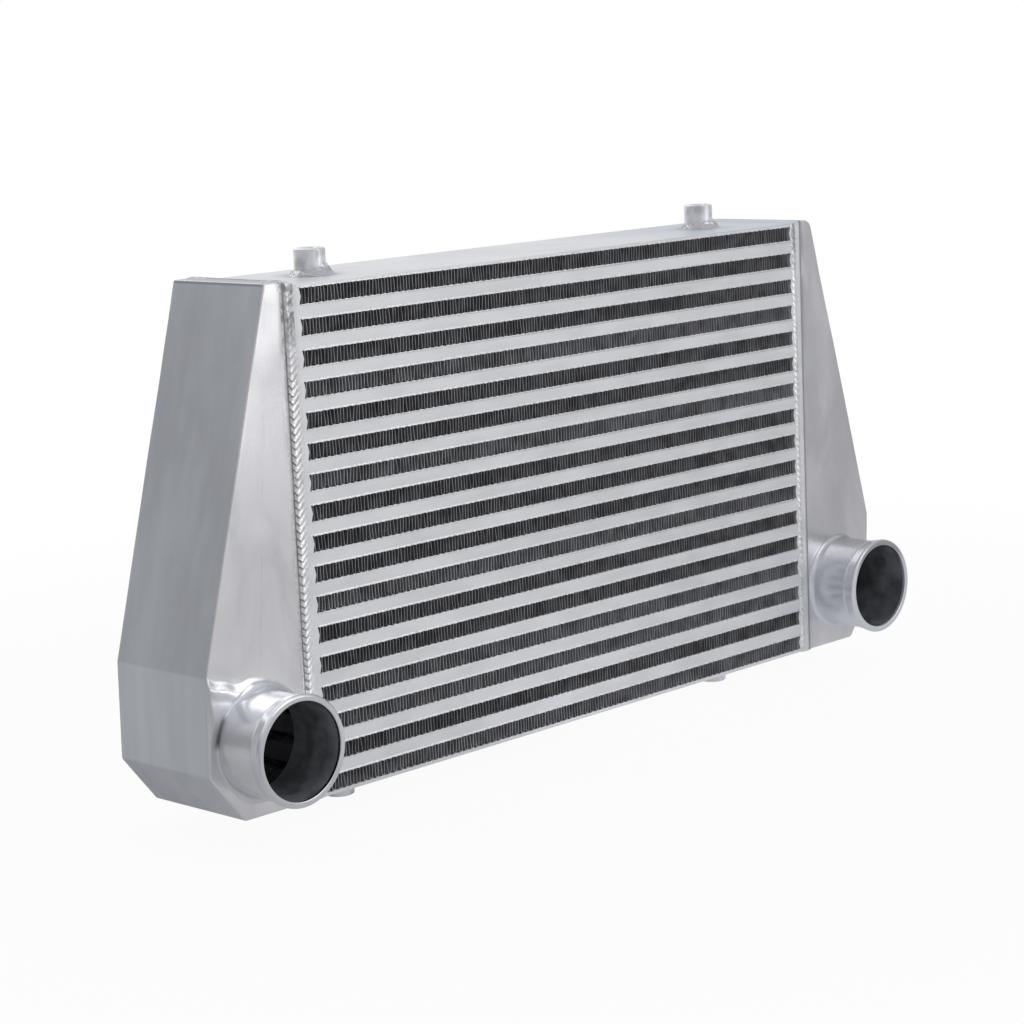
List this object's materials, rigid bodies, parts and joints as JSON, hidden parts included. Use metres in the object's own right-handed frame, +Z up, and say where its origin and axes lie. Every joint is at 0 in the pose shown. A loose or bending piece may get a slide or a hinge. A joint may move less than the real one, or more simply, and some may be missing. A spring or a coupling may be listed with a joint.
{
  "type": "intercooler",
  "caption": "Bar-and-plate air-to-air intercooler: finned rectangular core between two wedge-shaped end tanks, with hose necks at the front and threaded bosses above and below.",
  "frame": {"origin": "midway between the two lower bosses, on their end faces", "axes": "+X along the core from the left tank to the right one seen from the necks' side, +Y backwards through the core, away from the necks, +Z up"},
  "size_m": [0.6344, 0.1253, 0.3415],
  "materials": {
    "core_bar": "satin",
    "fin_foil": "matte",
    "tank_sheet": "brushed",
    "neck_tube": "polished",
    "weld_metal": "as welded",
    "boss_metal": "turned"
  },
  "bodies": {
    "root": {"ambient_fin_01": "fin_foil", "ambient_fin_02": "fin_foil", "ambient_fin_03": "fin_foil", "ambient_fin_04": "fin_foil", "ambient_fin_05": "fin_foil", "ambient_fin_06": "fin_foil", "ambient_fin_07": "fin_foil", "ambient_fin_08": "fin_foil", "ambient_fin_09": "fin_foil", "ambient_fin_10": "fin_foil", "ambient_fin_11": "fin_foil", "ambient_fin_12": "fin_foil", "ambient_fin_13": "fin_foil", "ambient_fin_14": "fin_foil", "ambient_fin_15": "fin_foil", "ambient_fin_16": "fin_foil", "ambient_fin_17": "fin_foil", "bottom_plate": "core_bar", "charge_fins": "fin_foil", "charge_tube_01": "core_bar", "charge_tube_02": "core_bar", "charge_tube_03": "core_bar", "charge_tube_04": "core_bar", "charge_tube_05": "core_bar", "charge_tube_06": "core_bar", "charge_tube_07": "core_bar", "charge_tube_08": "core_bar", "charge_tube_09": "core_bar", "charge_tube_10": "core_bar", "charge_tube_11": "core_bar", "charge_tube_12": "core_bar", "charge_tube_13": "core_bar", "charge_tube_14": "core_bar", "charge_tube_15": "core_bar", "charge_tube_16": "core_bar", "left_end_bars": "core_bar", "left_tank_back_plate": "tank_sheet", "left_tank_front_plate": "tank_sheet", "left_tank_top_sheet": "tank_sheet", "left_tank_weld": "weld_metal", "left_tank_wrap": "tank_sheet", "lower_bosses": "boss_metal", "neck_welds": "weld_metal", "necks": "neck_tube", "right_end_bars": "core_bar", "right_tank_back_plate": "tank_sheet", "right_tank_front_plate": "tank_sheet", "right_tank_top_sheet": "tank_sheet", "right_tank_weld": "weld_metal", "right_tank_wrap": "tank_sheet", "top_plate": "core_bar", "upper_bosses": "boss_metal"}
  },
  "joints": []
}
